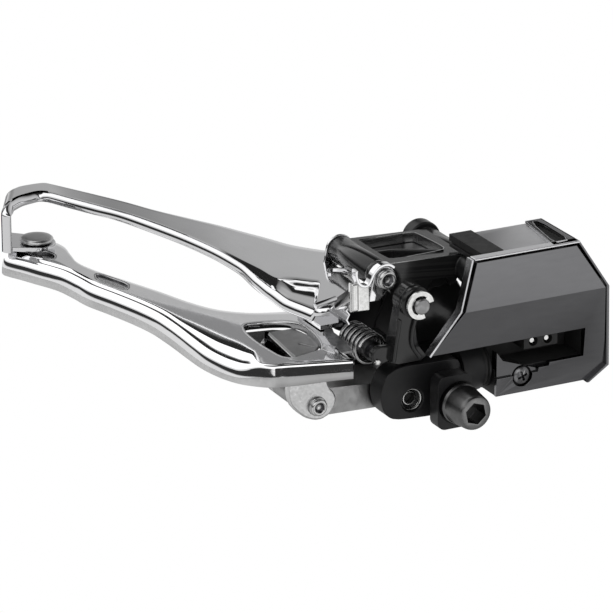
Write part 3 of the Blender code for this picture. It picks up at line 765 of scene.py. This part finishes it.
def inner_section(way):
    tight = ease(way, 0.66, 0.73)
    wide = FACET_WIDE * ease(way, 0.44, 0.63) * (1 - ease(way, 0.66, 0.74))
    flange = []
    for k, ((o0, d0), (o1, d1)) in enumerate(zip(FLANGE_ROUND, FLANGE_TIGHT)):
        offset, depth = o0 + (o1 - o0) * tight, d0 + (d1 - d0) * tight
        if k < 3:
            offset -= wide
        elif k < 16:
            depth += wide * SLOPE
        if depth > 2:
            depth -= (depth - 2) * FRONT_SLIM * ease(way, 0.78, 0.98)
        flange.append((1, 1, 0, offset, depth, 0, FLANGE_SLOT.get(k, 0)))
    face = [(0, 1, share, 0, 0, 0, 0) for share in (0.12, 0.25, 0.38, 0.5, 0.58, 0.66)]
    back = [(0, 1, share, 0, SHEET, 0, 0) for share in (0.66, 0.4, 0.15)]
    return [(0, 0, 0, -0.35, 0, 0, 0)] + face + flange + back + FAR_EDGE


WINDOW = [(-32, -39.4), (-30.6, -33), (-29, -29), (-26.4, -26.8), (-22.4, -26.2), (-14, -27.4),
    (-8.4, -29.4), (-6.2, -32), (-5.6, -40.6), (-17.9, -41.6), (-26, -41.2)]
SLOTS = [
    [(-103.3, -64.8), (-102.2, -60.9), (-98.4, -60.2), (-95.4, -61.8), (-98.8, -64.3), (-101.9, -65.4)],
    [(-80.7, -56.8), (-80.2, -55.8), (-70.6, -52.4), (-67, -54.1), (-67.1, -55.1), (-76.5, -58.3)]]


def rounded(outline, times=2):
    """Corner-cut closed outline."""
    for _ in range(times):
        sides = zip(outline, outline[1:] + outline[:1])
        outline = [(a * share + c * (1 - share), b * share + d * (1 - share))
                   for (a, b), (c, d) in sides for share in (0.8, 0.2)]
    return outline


def ring_sweep(name, outline, section, materials):
    """Closed sweep round an X-Z outline; the section is (outside distance, level, material)."""
    area = sum(a * d - c * b for (a, b), (c, d) in zip(outline, outline[1:] + outline[:1]))
    side = -1 if area > 0 else 1
    count = len(outline)
    bm = bmesh.new()
    rows = []
    for i, (a, b) in enumerate(outline):
        (pa, pb), (na, nb) = outline[i - 1], outline[(i + 1) % count]
        length = hypot(na - pa, nb - pb) or 1
        oa, ob = -(nb - pb) / length * side, (na - pa) / length * side
        rows.append([bm.verts.new(spot("Y", a + oa * offset, b + ob * offset, level))
                     for offset, level, _ in section])
    skin(bm, rows + rows[:1], [slot for _, _, slot in section])
    return to_object(bm, name, materials, 50)


def build_inner_plate():
    # the plate takes the lighter-tinted chrome: painted light against the shade of the parts round it
    plate = sweep_sheet("inner_cage_plate", flat_frames(INNER_RUNGS, INNER_COUNT, INNER_Y), inner_section,
        ["polished", "chrome_edge", "satin"])
    window, slots = rounded(WINDOW), [rounded(slot) for slot in SLOTS]
    cut(plate, [cutter("Y", outline, INNER_Y - 2, INNER_Y + 2.2)
                for outline in [window, ring(RIVET, RIVET_HOLE)] + slots])
    lip = [(0.55, -0.02, 0), (0.3, -0.02, 0), (0.1, 0.06, 0), (-0.05, 0.25, 0), (-0.1, 0.6, 0),
        (-0.1, 1.7, 0), (0, 1.85, 1), (0.4, 1.85, 1), (0.55, 1.7, 0)]
    rims = [ring_sweep("window_rim", window, [(o, INNER_Y + d, slot) for o, d, slot in lip],
        ["chrome", "chrome_edge"])]
    for tag, slot in zip("ab", slots):
        rims.append(ring_sweep("slot_rim_" + tag, slot, [(o, INNER_Y + d - 0.04, 0) for o, d, _ in lip],
            ["dark"]))
        rims.append(block("slot_floor_" + tag, "Y", slot, INNER_Y + 0.7, INNER_Y + 1.2, "button", 0.1))
    dress("cage", "inner_plate", plate, *rims)


def build_tail():
    """Foot of the wall round the tail, and the rivet that holds it to the inner plate."""
    foot = block("tail_foot", "Y", hull(ring(RIVET, 4.9, 36) + TAIL_WALL), -15.9, -14.78, "chrome", 0.22)
    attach(foot, "cage")
    rivet = lathe("tail_button", "Y", RIVET, [
        (0, -17.46), (2.2, -17.44), (3.6, -17.36), (3.95, -17.24), (4.2, -17),
        (4.34, -16.75), (4.34, -16.55), (4.2, -16.3), (3.9, -16.16), (3, -16.12),
        (2.3, -16.1), (2.3, -12.3), (3.3, -12.3), (3.4, -12.1), (3.2, -11.5),
        (0, -11.4)], ["button"], 96)
    dress("cage", "tail_rivet", rivet)


def build_bracket():
    """Hinge sheet between the outer plate and the pin of the outer link."""
    eye = [(-33.2, -21.3), (-31.6, -21.3), (-29.9, -20.7), (-28.9, -19.6), (-28.9, -18.2), (-30, -17.4),
        (-31.6, -16.6), (-32.8, -15.4), (-33.35, -13.8), (-33.1, -12.2), (-32.2, -11)]
    strip = block("hinge_strip", "X", band(curve(eye, 40), 0.36), -7.9, -5.9, "chrome", 0.16)
    low, _ = box_mm("hinge_bracket")
    web = block("hinge_web", "Y", [(low[0], -27), (low[0], -18.6), (-8, -20.4), (-8, -25.4),
        (-12, -27)], -24, -23, "chrome", 0.3)
    cheek = hull(ring(CAGE_UP, 3, 40) + [(-25.3, -17.5), (-24.2, -17.5), (-24.2, -15)])
    pin_hole = bore(CAGE_UP, CAGE_HOLE)
    rear = block("hinge_cheek_rear", "X", hull(ring(CAGE_UP, 3.8, 48) + [(-25, -18.2), (-24, -18.2)]),
        -30.7, -30.05, "chrome", 0.3, [pin_hole])
    front = block("hinge_cheek_front", "X", cheek, -8, -6.6, "chrome", 0.25, [pin_hole])
    flange = block("hinge_flange", "X", [(-30, -22.8), (-29.6, -20.6), (-28.9, -19.4), (-28.9, -17.6),
        (-22.2, -17.4), (-22.5, -22.8)], -7.6, -6.4, "bright", 0.3)
    crease = block("hinge_crease", "X", band([(-29.8, -21.7), (-22.7, -21.6)], 0.95), -6.9, -5.9,
        "bright", 0.45)
    # folded ribs along the pin
    fold = [(-23.6, -27.2), (-24.6, -26.2), (-23.9, -25.2), (-24.7, -24.4), (-23.9, -23.6),
        (-24.4, -22.8), (-23.2, -22.2), (-22.4, -22.9), (-21.3, -22.1), (-20, -22.8), (-18.7, -22.1)]
    ribs = block("hinge_ribs", "X", band(fold, 0.25), -22, -8.2, "chrome", 0.1)
    lip_path = curve([(-21.5, -20.6), (-23.6, -19.7), (-24.6, -18.5), (-23.6, -16.6), (-22.3, -15.4),
        (-20.2, -15.2), (-16.5, -15.9), (-12.9, -17.6)], 48)
    lip = block("outer_plate_lip", "Y", band(lip_path, 0.5), OUTER_Y - 0.5, OUTER_Y + 0.6, "chrome", 0.42)
    panel = facet("outer_plate_panel", [
        (-21.2, -26.5, -20.2), (-19, -27.3, -16.4), (-12.9, -27.2, -17.8), (-6.6, -26.2, -21.8),
        (-6, -24.6, -27.2), (-13.4, -25.5, -24)], 0.5, "satin")
    tab = tube("outer_plate_tab", [(-3.7, OUTER_Y - 0.1, -33.7), (-3.9, OUTER_Y - 0.25, -32.2),
        (-4.2, OUTER_Y - 0.35, -30.6), (-4.7, OUTER_Y - 0.4, -29), (-5.2, OUTER_Y - 0.4, -27.6)], 0.75,
        "chrome", 20)
    dress("cage", "hinge_bracket", strip, web, rear, front, flange, crease, ribs, lip, panel, tab)


def facet(name, corners, thick, material, bevel=0.1):
    """Flat or slightly twisted panel through 3-D corners, thickened inboard."""
    bm = bmesh.new()
    top = [bm.verts.new(Vector(c) * MM) for c in corners]
    low = [bm.verts.new((Vector(c) + Vector((0, thick, 0))) * MM) for c in corners]
    bm.faces.new(top)
    bm.faces.new(low[::-1])
    for i in range(len(corners)):
        j = (i + 1) % len(corners)
        bm.faces.new((top[i], low[i], low[j], top[j]))
    return soften(to_object(bm, name, material, 30), bevel)


def build_inner_details():
    """What is seen in and round the window of the inner plate."""
    stiff = block("stiffener_panel", "Y", [(-28, -34.6), (-10.4, -35.6), (-11.4, -29.9), (-16.4, -25.2),
        (-27.6, -27.4)], -12.25, -11.3, "cast", 0.25, [("Y", hull(ring((-17.1, -31), 0.55, 20) +
        ring((-14.2, -29.3), 0.55, 20)), -14, -9)])
    others = [
        block("stiffener_edge", "Y", band([(-21.6, -38.9), (-27.6, -34.6), (-9.6, -36.4)], 0.55), -12.5,
            -10.9, "satin", 0.2),
        block("stiffener_wall", "Y", [(-26.4, -35.6), (-21.4, -38.6), (-9.4, -38.4), (-9.8, -36.9)], -9.9,
            -9.4, "base", 0.1),
        block("stiffener_back", "Y", [(-34, -40), (-32.2, -31), (-29.2, -26.4), (-25, -25.6),
            (-24.6, -34.8), (-9, -36), (-7.4, -41.8), (-26, -42.4)], -10.9, -10.5, "rubber", 0.1),
        block("bridge_fill", "Y", [(-22, -21.8), (-15.5, -25), (-9, -26.6), (-3.6, -26.8), (-3.2, -23.8),
            (-9.6, -22.3), (-16, -22.2), (-19, -21.2)], -14.2, -13.4, "dark", 0.15),
        facet("window_panel", [(-5.2, -14.05, -40), (-7.3, -14.2, -30.4), (-5.6, -14.2, -29.6),
            (-1.2, -14, -32.6), (-3, -14, -38.2)], 0.7, "satin", 0.12),
        facet("window_facet", [(-7.6, -14.1, -30), (-9.4, -14.3, -27.6), (-6.6, -14.5, -26.6),
            (-3.8, -14.3, -28.4), (-5.4, -14.1, -29.4)], 0.7, "chrome", 0.12),
    ]
    dress("cage", "cage_stiffener", stiff, *others)


def build_lug():
    shape = [(-9.5, -41), (-7, -41.4), (-5.2, -41.3), (-3, -40.7), (-0.8, -38.9), (1.1, -36.6),
        (2.1, -34.2), (2.2, -32.2), (1.3, -30.1), (-0.6, -28.7), (-2.6, -28.3), (-4.1, -28.8),
        (-5.6, -30.1), (-9.5, -31.4)]
    hole = bore(CAGE_LOW, CAGE_HOLE)
    front = block("lug_front", "X", rounded(shape, 1), -5, -2.9, "satin", 0.55, [hole])
    rear = block("lug_rear", "X", hull(ring(CAGE_LOW, 3.5, 36) + [(-9.4, -39.8), (-8.8, -40.4),
        (-7.4, -32)]), -24, -20.7, "satin", 0.4, [hole])
    web = block("lug_web", "Y", [(-24, -40.4), (-24, -37.4), (-2.9, -37.4), (-2.9, -40.4)], -10.9, -9.4,
        "satin", 0.2)
    dress("cage", "lower_lug", front, rear, web)


def build_pin(name, node, centre, tail_x, face_x, head, collar):
    """Riveted pin: shaft, dark collar, bright rim and a dimple in the end."""
    pin = lathe(name, "X", centre, [
        (0, tail_x), (PIN, tail_x), (PIN, face_x - 2.2, 1), (collar, face_x - 2.2, 1),
        (collar, face_x - 1.3, 1), (collar - 0.12, face_x - 1.15), (head, face_x - 1.1),
        (head, face_x - 0.3), (head - 0.16, face_x - 0.08), (head - 0.35, face_x),
        (head * 0.66, face_x), (head * 0.60, face_x - 0.1, 1), (head * 0.52, face_x - 0.5, 1),
        (head * 0.3, face_x - 0.75), (0, face_x - 0.8)], ["steel", "dark"], 64)
    dress("cage", node, pin)


def build_spring():
    low, high = box_mm("saver_spring")
    _, y, z = middle("saver_spring")
    wire = 0.46
    mean = (high[1] - low[1]) / 2 - wire
    turns, steps, first = 5.6, 44, 0.6
    count = int(turns * steps)
    path = []
    for i in range(count + 1):
        angle = 2 * pi * i / steps + first
        x = low[0] + wire + (high[0] - low[0] - 2 * wire) * i / count
        path.append((x, y + mean * cos(angle), z + mean * sin(angle)))
    dress("base", "saver_spring", tube("saver_coil", path, wire, "link_rim", 16))


COVER_BACK, COVER_FRONT, COVER_FOLD, COVER_FALL = 2.1, 5, -22, 0.085


def cover_sheet(name, polygons, material, bevel, hole):
    """Cover panel whose face falls away inboard of the fold; polygons share their corners."""
    bm = bmesh.new()
    made = {}

    def vert(p, level):
        key = (p, level)
        if key not in made:
            x = COVER_FRONT - COVER_FALL * max(0, p[0] - COVER_FOLD) if level else COVER_BACK
            made[key] = bm.verts.new(Vector((x, p[0], p[1])) * MM)
        return made[key]
    edges = []
    for face in polygons:
        bm.faces.new([vert(p, 1) for p in face])
        bm.faces.new([vert(p, 0) for p in face[::-1]])
        edges += zip(face, face[1:] + face[:1])
    for p, q in edges:
        if (q, p) not in edges:
            bm.faces.new((vert(p, 1), vert(p, 0), vert(q, 0), vert(q, 1)))
    obj = cut(to_object(bm, name, material, 3), [cutter(*hole)])
    obj.data.set_sharp_from_angle(angle=radians(3))
    return soften(obj, bevel, 3, 12)


SCREW_AT, SCREW_SEAT = (-1.9, 19.9), 2.75      # axis, and radius of the recess for the head


def build_cover():
    fold = COVER_FOLD
    panel = cover_sheet("cover_panel", [
        [(-34.3, 5.6), (fold, 2.6), (fold, 42), (-34.3, 33.4)],
        [(fold, 2.6), (-11.9, -6.2), (-11.9, 12.4), (-11.9, 37), (-4.4, 37), (-4.4, 27.4),
         (-3.5, 27.2), (-3.5, 24.4), (-2.4, 24.2), (-2.4, 12.6), (2.4, 12.6), (2.4, 38.2),
         (-1.2, 43.3), (fold, 42)]], "cover", 0.22, bore(SCREW_AT, SCREW_SEAT, 0, 8, 48))
    # lighter strip along the cover's left edge: painted highlight line on its rim
    edge = block("cover_left_edge", "X", band([(-35.1, 4.65), (fold - 0.1, 1.65), (-12, -6.8)], 0.27),
        2.1, 4.7, "cover_rim", 0.1)
    top = block("cover_top_edge", "Y", rect(2.15, 5.2, 4.75, 34.6), -35.2, -34.72, "case", 0.15)
    dress("base", "motor_cover", panel, edge, top)
    end = block("end_frame", "X", [(-35.2, 33.9), (-35.2, 34.6), (fold, 43.5), (-1, 44), (2.7, 38.4),
        (2.7, 37.7), (-1.3, 43.2), (fold - 0.2, 42.6)], -14.3, 4.3, "cover", 0.2)
    # raised frame round the pocket in the housing's outboard face
    hole = [(-12.9, 30.9), (-13, 33.2), (2.6, 32.8), (3.3, 28.3)]
    frame_ring = block("pocket_frame", "Y", [(-14.3, 29.9), (-14.3, 34.6), (4.3, 34.6), (4.3, 27.2)],
        -35.2, -34.6, "cover", 0.18, [("Y", rounded(hole, 1), -36, -33)])
    dress("base", "end_cap", end, frame_ring)
    build_housing(hole)


def build_housing(hole):
    """The housing itself, with a lowered outboard face and the pocket sunk into it."""
    housing = nodes["motor_case"].copy()
    housing.data = nodes["motor_case"].data.copy()
    housing.name = housing.data.name = "housing_shell"
    scene.collection.objects.link(housing)
    housing.data.materials.clear()
    for key in ("shell", "case", "rubber"):
        housing.data.materials.append(MAT[key])
    for face in housing.data.polygons:
        face.material_index = 0
    cut(housing, [cutter("Y", [(-14.5, 14.6), (-14.5, 29.9), (3.9, 27.4), (3.9, 14.6)], -36, -34.8),
        cutter("Y", rounded(hole, 1), -36, -34)])
    # the outboard face is case grey; the pocket and the hollow behind the cover are dull black
    for face in housing.data.polygons:
        x, y, z = (v / MM for v in face.center)
        pocket = y < -33.6 and z > 28.3 and x < 3
        cavity = -11.7 < x < 1.7 and -33.5 < y < -4.1 and 10.9 < z < 40.2
        outboard = face.normal.y < -0.8 and y < -34.7
        face.material_index = 1 if outboard else 2 if pocket or cavity else 0
    lug = block("screw_lug", "X", [(-9, 12.9), (-6.6, 14.6), (-3.3, 23.7), (-2.6, 24.6), (2.2, 24.6),
        (2.3, 12.9)], 0.3, 2.6, "lug_face", 0.25, [bore(SCREW_AT, SCREW_SEAT, 1, 4, 48),
        bore(SCREW_AT, 1.5, -1, 4)])
    dress("base", "motor_case", soften(housing, 0.25), lug)


def build_screw():
    screw = lathe("case_screw_head", "X", SCREW_AT, [
        (0, -5.6), (1.2, -5.6), (1.2, 1.9), (2.3, 1.9), (2.38, 2.1), (2.3, 2.7),
        (1.9, 3.1), (1.3, 3.3), (0, 3.4)], ["dark"], 48)
    y, z = SCREW_AT
    turn = radians(20)
    arms = []
    for quarter in (0, pi / 2):
        c, d = cos(turn + quarter), sin(turn + quarter)
        arms.append(("X", [(y + c * a - d * b, z + d * a + c * b) for a, b in ((-1.35, -0.3),
            (1.35, -0.3), (1.35, 0.3), (-1.35, 0.3))], 2.3, 5))
    cut(screw, [cutter(*arm) for arm in arms])
    dress("base", "case_screw", soften(screw, 0.06, 2))


def build_posts():
    post = lathe("spring_stub", "X", middle("spring_post")[1:], [
        (0, -18.2), (2.6, -18.2), (2.8, -18), (2.8, -17.6), (2.4, -17.4),
        (2.4, -5.5), (1.6, -5.5), (1.6, -2.6), (0, -2.6)], ["dark"], 48)
    dress("base", "spring_post", post)
    pin = lathe("lower_pivot", "X", BASE_LOW, [
        (0, -26.9), (1.5, -26.9), (PIN, -26.6), (PIN, -1.9), (1.72, -1.7),
        (1.5, -1.7), (1.4, -1.9, 1), (1.35, -3.4, 1), (0, -3.5, 1)], ["bright", "rubber"], 64)
    dress("base", "lower_base_pin", pin)


def build_base():
    pin = bore(BASE_LOW, LINK_HOLE, hi=2)
    bolt = bore((0, 0), BOLT_HOLE, -15.4, 2, 40)
    knuckle = [(-8.6, 4.9), (-8.6, -3.4), (-9, -12.6), (-7, -16.4), (-2.4, -18), (2.2, -17), (4.8, -14.2),
        (5.4, -4.3), (5.5, 4.9)]
    front = block("base_knuckle", "X", rounded(knuckle), -5.8, 0, "base", 1.1,
        [pin, bore(BASE_LOW, 2.95, -1.9, 2, 64), bolt])
    others = [
        block("base_bridge", "X", rounded(rect(-8.4, -4, 5.4, 5.2), 1), -14, -3, "base", 0.8, [bolt]),
        block("base_span", "X", rounded(rect(1.3, -4.1, 5.4, 5.2), 1), -31.6, -12, "base", 0.6, [bolt]),
        block("base_rear_knuckle", "X", rounded(knuckle), -27.1, -22, "base", 0.8,
            [bore(BASE_LOW, 4.3, -22.5, -21, 40), pin, ("X", rect(-12, -4.3, 1.1, 8), -31.4, -14)]),
        block("base_end", "X", rounded(rect(-8.6, -4.3, 5.4, 5.2), 1), -35.5, -31.5, "base", 0.6),
        block("base_rear_cheek", "X", hull(ring(BASE_UP, 4.6, 48) + [(-8, -3), (-8, 5.4), (0, -3)]),
            -35.5, -31.4, "base", 0.6, [bore(BASE_UP, LINK_HOLE, hi=-30)]),
        block("base_rear_web", "X", rounded([(-17, -1), (-15.6, -11), (-12.6, -13.4), (-7, -14), (-6, 0)],
            1), -34.6, -31.7, "base", 0.5),
        block("base_case_web", "X", rounded([(-23.2, 12.6), (-22.9, 4), (-21, 0.6), (-15, -1.8),
            (-8, -3.6), (-5.4, -3.6), (-5.4, 5), (-7.4, 12.6)], 1), -16.2, -13.8, "gloss", 0.9),
        lathe("base_neck", "Z", (-4.6, -4), [
            (0, 4.6), (6.2, 4.6), (6.2, 10.3), (6.05, 10.6), (5.5, 10.7, 1),
            (5.5, 11.6, 1), (6, 11.7), (6, 12.2), (0, 12.2)], ["base", "rubber"], 96),
        lathe("base_port_ring", "X", BASE_LOW, [
            (2.45, -1.9), (2.45, -1), (2.55, -0.75), (2.72, -0.68), (2.85, -0.8),
            (2.9, -1), (2.9, -1.9)], ["bright"], 64),
    ]
    dress("base", "bracket_base", front, *others)


HEXAGON = 5              # across the flats of the fixing bolt's socket


def build_bolt():
    corners = rect(-5, -3.6, 4.4, 1.4)
    washer = block("radius_block", "X", hull([p for c in corners for p in ring(c, 2.2, 24)]), 3, 7,
        "base", 0.9, [bore((0, 0), 5.5, 6.3, 8, 64), bore((0, 0), BOLT_HOLE, 2, 8, 40)])
    dress("clamp", "radius_washer", washer)
    low, high = box_mm("fixing_bolt")
    head = (high[1] - low[1]) / 2
    screw = lathe("fixing_screw", "X", (0, 0), [
        (0, low[0]), (2.1, low[0]), (2.6, low[0] + 0.6), (2.6, 7.1), (5.1, 7.1),
        (5.2, 7.3), (5.2, 8.2), (5, 8.5), (head - 0.25, 8.7), (head, 9),
        (head - 0.55, 14.5), (head - 0.7, 14.95), (head - 1, 15.35, 1),
        (head - 1.3, 15.45, 1), (0, 15.45, 1)], ["bolt", "bolt_face"], 96)
    corner = HEXAGON / 2 / cos(pi / 6)
    cut(screw, [cutter("X", ring((0, 0), corner, 6, 12), 11, 17)])
    screw.data.set_sharp_from_angle(angle=radians(30))
    dress("clamp", "fixing_bolt", soften(screw, 0.14, 2, 50))


def build_arm():
    low, high = box_mm("arm_pin")
    axis, coil_axis = middle("arm_pin")[1:], middle("spring_post")[1:]
    outer, inner = 4, (high[1] - low[1]) / 2 + 0.1
    shape = rounded([(-25.1, -12.2), (-19, -13.4), (-13, -14.4), (-9.5, -14.8), (-9.5, -4.4), (-14, -7.6),
        (-19, -8.2), (-24, -6)], 1)
    body = block("arm_body", "X", shape, -4, -0.5, "gloss", 0.5, [bore(axis, inner, -9, 6, 40)])
    hub = lathe("arm_hub", "X", axis, [
        (inner, -4.3), (outer - 0.3, -4.3), (outer, -4), (outer, -0.9),
        (outer - 0.25, -0.7), (outer - 0.25, -0.3), (outer, -0.1), (outer, 0.7),
        (outer - 0.35, 1.1), (outer - 0.9, 1.2), (outer - 0.95, 1.6), (inner, 1.6),
        (inner, -4.3)], ["gloss"], 72)
    others = [
        hub,
        *(block("arm_ridge_" + tag, "X", band(curve(path, 16), 0.5), -1.2, 0.3, "gloss", 0.4)
          for tag, path in zip("ab", (
              [(-21.2, -12.6), (-17.2, -13.2), (-14.3, -13.7), (-10.2, -14.2)],
              [(-20.6, -8.4), (-17, -9.2), (-13.8, -9), (-10.2, -6.8)]))),
        block("arm_spring_tab", "X", hull(ring(coil_axis, 2.4, 32) + [(-10.2, -14), (-14, -13.6)]), -3.6,
            -1.6, "gloss", 0.5),
        lathe("arm_spring_stud", "X", (-10.6, -17.9), [
            (0, -3.4), (0.8, -3.4), (0.8, -1.3), (0.6, -1), (0, -0.9)], ["bright"], 24),
    ]
    dress("base", "pin_arm", body, *others)


def build_outer_link():
    up, down = bore(BASE_UP, LINK_HOLE), bore(CAGE_UP, LINK_HOLE)
    walls = [(-32.4, -13.5), (-31.35, 11), (-25.6, 11.3), (-27.2, -13.3)]
    pocket = rounded([(-27.8, -9.4), (-28.2, -8.6), (-27.8, 5.2), (-27, 6), (-14.6, 7.2), (-12.9, 6),
        (-12.4, -7.6), (-13.2, -9.2)], 1)
    body = block("link_body", "X", walls, -29.9, -9.4, "gloss", 0.5, [up, down,
        ("Y", pocket, -36, -29.4)])
    barrels = []
    for tag, centre, radius, lo, hi, hole in (("up", BASE_UP, 3.7, -31.1, -8.7, up),
            ("low", CAGE_UP, 3.5, -29.8, -8.4, down)):
        barrel = lathe("link_barrel_" + tag, "X", centre, [
            (0, lo), (radius - 0.5, lo), (radius, lo + 0.5), (radius, hi - 2.4),
            (radius - 0.12, hi - 2.2), (radius - 0.12, hi - 1.9), (radius, hi - 1.7),
            (radius, hi - 0.5), (radius - 0.5, hi), (0, hi)], ["gloss"], 72)
        barrels.append(cut(barrel, [cutter(*hole)]))
    # the pocket rim and the seam line are lighter grey: painted highlight along the link's edges
    rim = ring_sweep("link_pocket_rim", pocket, [
        (0.32, -31.4, 0), (0.22, -32, 0), (0, -32, 0), (-0.1, -31.4, 0), (-0.1, -29.6, 0),
        (0.32, -29.6, 0)], ["link_rim"])
    seam = tube("link_seam", [(-9.5, -32.15, -10.6), (-9.5, -31.75, 0), (-9.5, -31.31, 10)], 0.2,
        "link_rim", 10)
    backing = block("link_backing", "X", rounded([(-26.5, -8.5), (-23.4, -6.5), (-22.9, 0), (-23.2, 6.5),
        (-26.5, 8.5)], 1), -12.7, -11.3, "gloss", 0.4)
    rib = block("link_rib", "Y", band(curve([(-14.6, 6), (-16.6, 2), (-19.6, -3.6), (-20.4, -9)], 16),
        0.6), -31.5, -29.2, "gloss", 0.35)
    ear = block("link_ear", "X", rounded([(-29.4, -10.6), (-23.4, -10.4), (-23, -2), (-23.6, 8.4),
        (-29.4, 8.6)], 2), -11.2, -9.5, "gloss", 0.4, [bore((-23.4, -5.4), 3, -12, -8),
        bore((-23.4, 3.4), 3, -12, -8)])
    dress("outer_link", "outer_link", body, *barrels, rim, rib, ear, seam, backing)


add_camera()
add_world()
add_floor()

scene.view_settings.view_transform = "Standard"
scene.view_settings.look = "None"

build_outer_plate()
build_inner_plate()
build_tail()
build_bracket()
build_inner_details()
build_lug()
build_pin("upper_pin", "upper_cage_pin", CAGE_UP, -33.6, -4.5, 2.35, 2.6)
build_pin("lower_pin", "lower_cage_pin", CAGE_LOW, -24.6, -1.2, 2.1, 2.4)
build_spring()
build_cover()
build_screw()
build_posts()
build_base()
build_bolt()
build_arm()
build_outer_link()

for node, finish, bevel in (
        ("arm_pin", "dark", 0), ("e_clip", "bright", 0.1), ("upper_base_pin", "steel", 0),
        ("seal_block", "rubber", 0.4), ("motor_can", "steel", 0.2),
        ("gearbox_block", "cast", 0.3), ("control_board", "board", 0),
        ("wire_port", "rubber", 0.2), ("port_contact_a", "brass", 0),
        ("port_contact_b", "brass", 0), ("inner_link", "cast", 0.5),
        ("front_bridge", "chrome", 0.2)):
    keep(node, finish, bevel)
